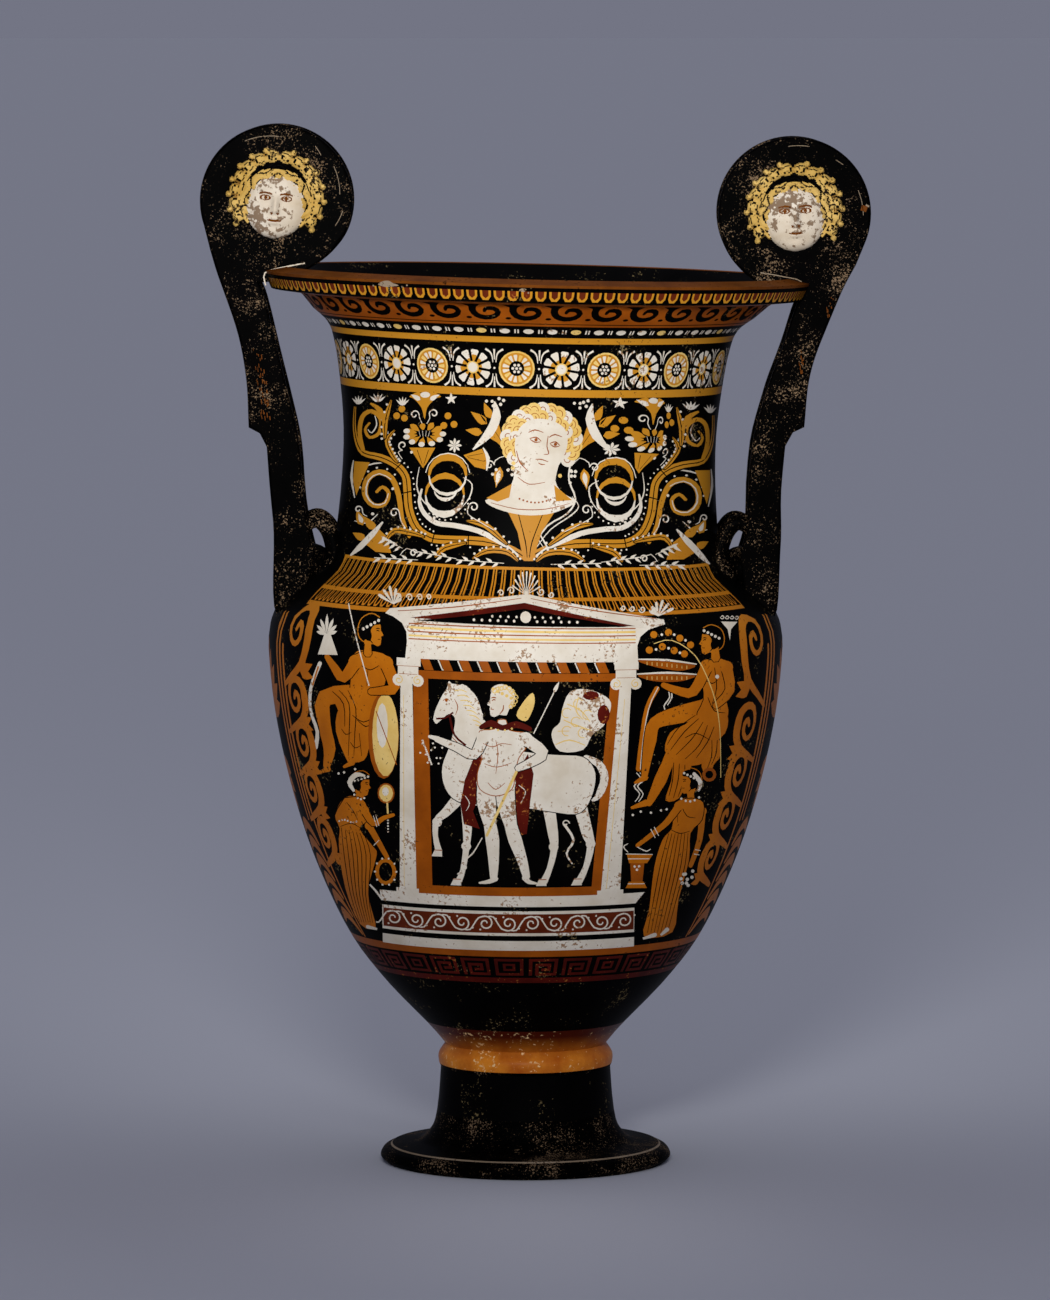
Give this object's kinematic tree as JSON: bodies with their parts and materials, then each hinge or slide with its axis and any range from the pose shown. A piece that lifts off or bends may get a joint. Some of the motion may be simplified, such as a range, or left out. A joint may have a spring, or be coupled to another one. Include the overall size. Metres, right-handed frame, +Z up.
{
  "type": "volute krater",
  "caption": "Large painted clay mixing bowl on a hollow pedestal foot, with a wide neck, an overhanging lip and tall scrolled handles closed by relief masks",
  "frame": {"origin": "On the ground, under the middle of the whole pot as measured over both handles; the axis of the foot and bowl stands 9 mm to the left, because the neck and handles lean right.", "axes": "+Z up along the pot, +X to the right handle as the main painted side is looked at, the main painted side faces -Y"},
  "size_m": [0.6023, 0.484, 0.9378],
  "materials": {
    "black_gloss_pottery": "black gloss slip over fired red-orange clay, with painted ornament"
  },
  "bodies": {
    "root": {"krater": "black_gloss_pottery"}
  },
  "joints": []
}
